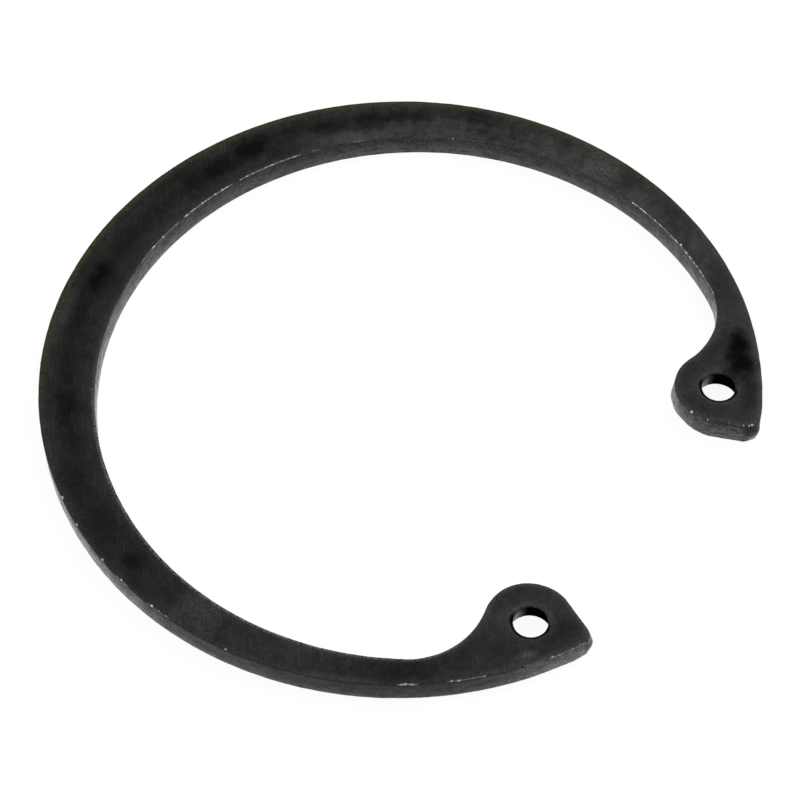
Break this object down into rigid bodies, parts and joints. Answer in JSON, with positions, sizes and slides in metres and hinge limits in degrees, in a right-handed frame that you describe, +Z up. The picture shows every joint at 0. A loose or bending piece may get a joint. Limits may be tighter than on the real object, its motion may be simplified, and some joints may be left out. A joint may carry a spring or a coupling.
{
  "type": "circlip retaining ring",
  "caption": "Internal circlip of black spring steel: an open ring, widest opposite its gap, whose holed lugs let pliers squeeze it into the groove of a bore.",
  "frame": {"origin": "centre of the ring's outer circle, on the plane of its lower face", "axes": "+Z upwards along the axis of the outer circle, which is the axis of the bore; the gap opens towards -Y; +X points to the right lug seen from above with the gap below"},
  "size_m": [0.0562, 0.0535, 0.002],
  "materials": {
    "blackened_spring_steel": "black phosphate and oil on spring steel, satin, with greyer sheared walls"
  },
  "bodies": {
    "root": {"retaining_ring": "blackened_spring_steel"}
  },
  "joints": []
}
